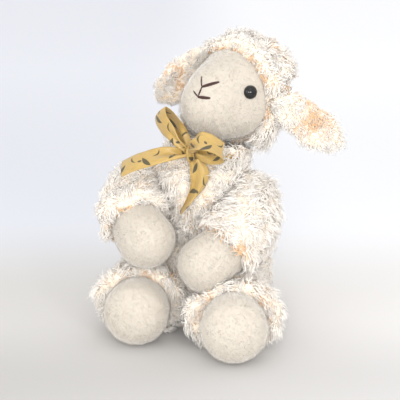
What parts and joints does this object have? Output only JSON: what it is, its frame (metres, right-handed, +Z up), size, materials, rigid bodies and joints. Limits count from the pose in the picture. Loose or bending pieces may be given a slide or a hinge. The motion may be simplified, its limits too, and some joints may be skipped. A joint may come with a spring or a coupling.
{
  "type": "plush toy",
  "caption": "Seated plush lamb with shaggy body, smooth face, paws and feet, domed eyes, flap ears and a satin neck bow.",
  "frame": {"origin": "middle of the seat on the surface that the toy sits on", "axes": "+Z up, the toy's front towards -Y, its left towards +X"},
  "size_m": [0.1791, 0.1626, 0.2216],
  "materials": {
    "shaggy_pile": "shaggy curled pile, cream with orange-tan roots",
    "smooth_pile": "short smooth pile",
    "ear_plush": "short curly plush, orange-tinted",
    "ribbon_satin": "satin ribbon, gold with a small dark seed pattern",
    "embroidery_thread": "satin stitch",
    "polyester_fill": "loose fibre",
    "pouch_cloth": "plain woven cloth",
    "eye_plastic": "glossy black",
    "washer_plastic": "natural moulded"
  },
  "bodies": {
    "torso": {"torso_cover": "shaggy_pile", "torso_stuffing": "polyester_fill", "seat_bean_pouch": "pouch_cloth", "tail": "shaggy_pile", "ribbon_neck_band": "ribbon_satin", "ribbon_knot": "ribbon_satin", "ribbon_loop_right": "ribbon_satin", "ribbon_loop_left": "ribbon_satin", "ribbon_tail_right": "ribbon_satin", "ribbon_tail_left": "ribbon_satin"},
    "head": {"face_panel": "smooth_pile", "head_back_panel": "shaggy_pile", "crown_gusset": "shaggy_pile", "head_stuffing": "polyester_fill", "nose_mouth_stitching": "embroidery_thread", "eye_left": "eye_plastic", "eye_right": "eye_plastic", "eye_washer_left": "washer_plastic", "eye_washer_right": "washer_plastic"},
    "ear_left": {"ear_left_back": "shaggy_pile", "ear_left_lining": "ear_plush"},
    "arm_left": {"arm_left_sleeve": "shaggy_pile", "arm_left_paw": "smooth_pile", "arm_left_stuffing": "polyester_fill"},
    "leg_left": {"leg_left_sleeve": "shaggy_pile", "leg_left_foot": "smooth_pile", "leg_left_stuffing": "polyester_fill"},
    "ear_right": {"ear_right_back": "shaggy_pile", "ear_right_lining": "ear_plush"},
    "arm_right": {"arm_right_sleeve": "shaggy_pile", "arm_right_paw": "smooth_pile", "arm_right_stuffing": "polyester_fill"},
    "leg_right": {"leg_right_sleeve": "shaggy_pile", "leg_right_foot": "smooth_pile", "leg_right_stuffing": "polyester_fill"}
  },
  "joints": [
    {"name": "head_turn", "type": "hinge", "parent": "torso", "child": "head", "pos_m": [0.026, 0, 0.179], "axis": [0.308, 0.051, 0.95], "range_deg": [-10, 40]},
    {"name": "ear_left_swing", "type": "hinge", "parent": "head", "child": "ear_left", "pos_m": [0.06404, -0.01354, 0.1759], "axis": [0.5352, 0.3109, 0.7854], "range_deg": [-20, 30], "stiffness_Nm_per_rad": 0.02},
    {"name": "ear_right_swing", "type": "hinge", "parent": "head", "child": "ear_right", "pos_m": [-0.00007, 0.01815, 0.20413], "axis": [0.7171, 0.337, -0.6101], "range_deg": [0, 35], "stiffness_Nm_per_rad": 0.02},
    {"name": "arm_left_raise", "type": "hinge", "parent": "torso", "child": "arm_left", "pos_m": [0.042, -0.009, 0.099], "axis": [-0.9536, 0, 0.3011], "range_deg": [0, 45], "stiffness_Nm_per_rad": 0.05},
    {"name": "arm_right_raise", "type": "hinge", "parent": "torso", "child": "arm_right", "pos_m": [-0.04, -0.007, 0.106], "axis": [-0.6, 0, -0.8], "range_deg": [0, 45], "stiffness_Nm_per_rad": 0.05},
    {"name": "leg_left_splay", "type": "hinge", "parent": "torso", "child": "leg_left", "pos_m": [0.035, -0.03, 0.027], "axis": [0, 0, 1], "range_deg": [0, 20], "stiffness_Nm_per_rad": 0.05},
    {"name": "leg_right_splay", "type": "hinge", "parent": "torso", "child": "leg_right", "pos_m": [-0.037, -0.014, 0.027], "axis": [0, 0, -1], "range_deg": [0, 20], "stiffness_Nm_per_rad": 0.05}
  ]
}
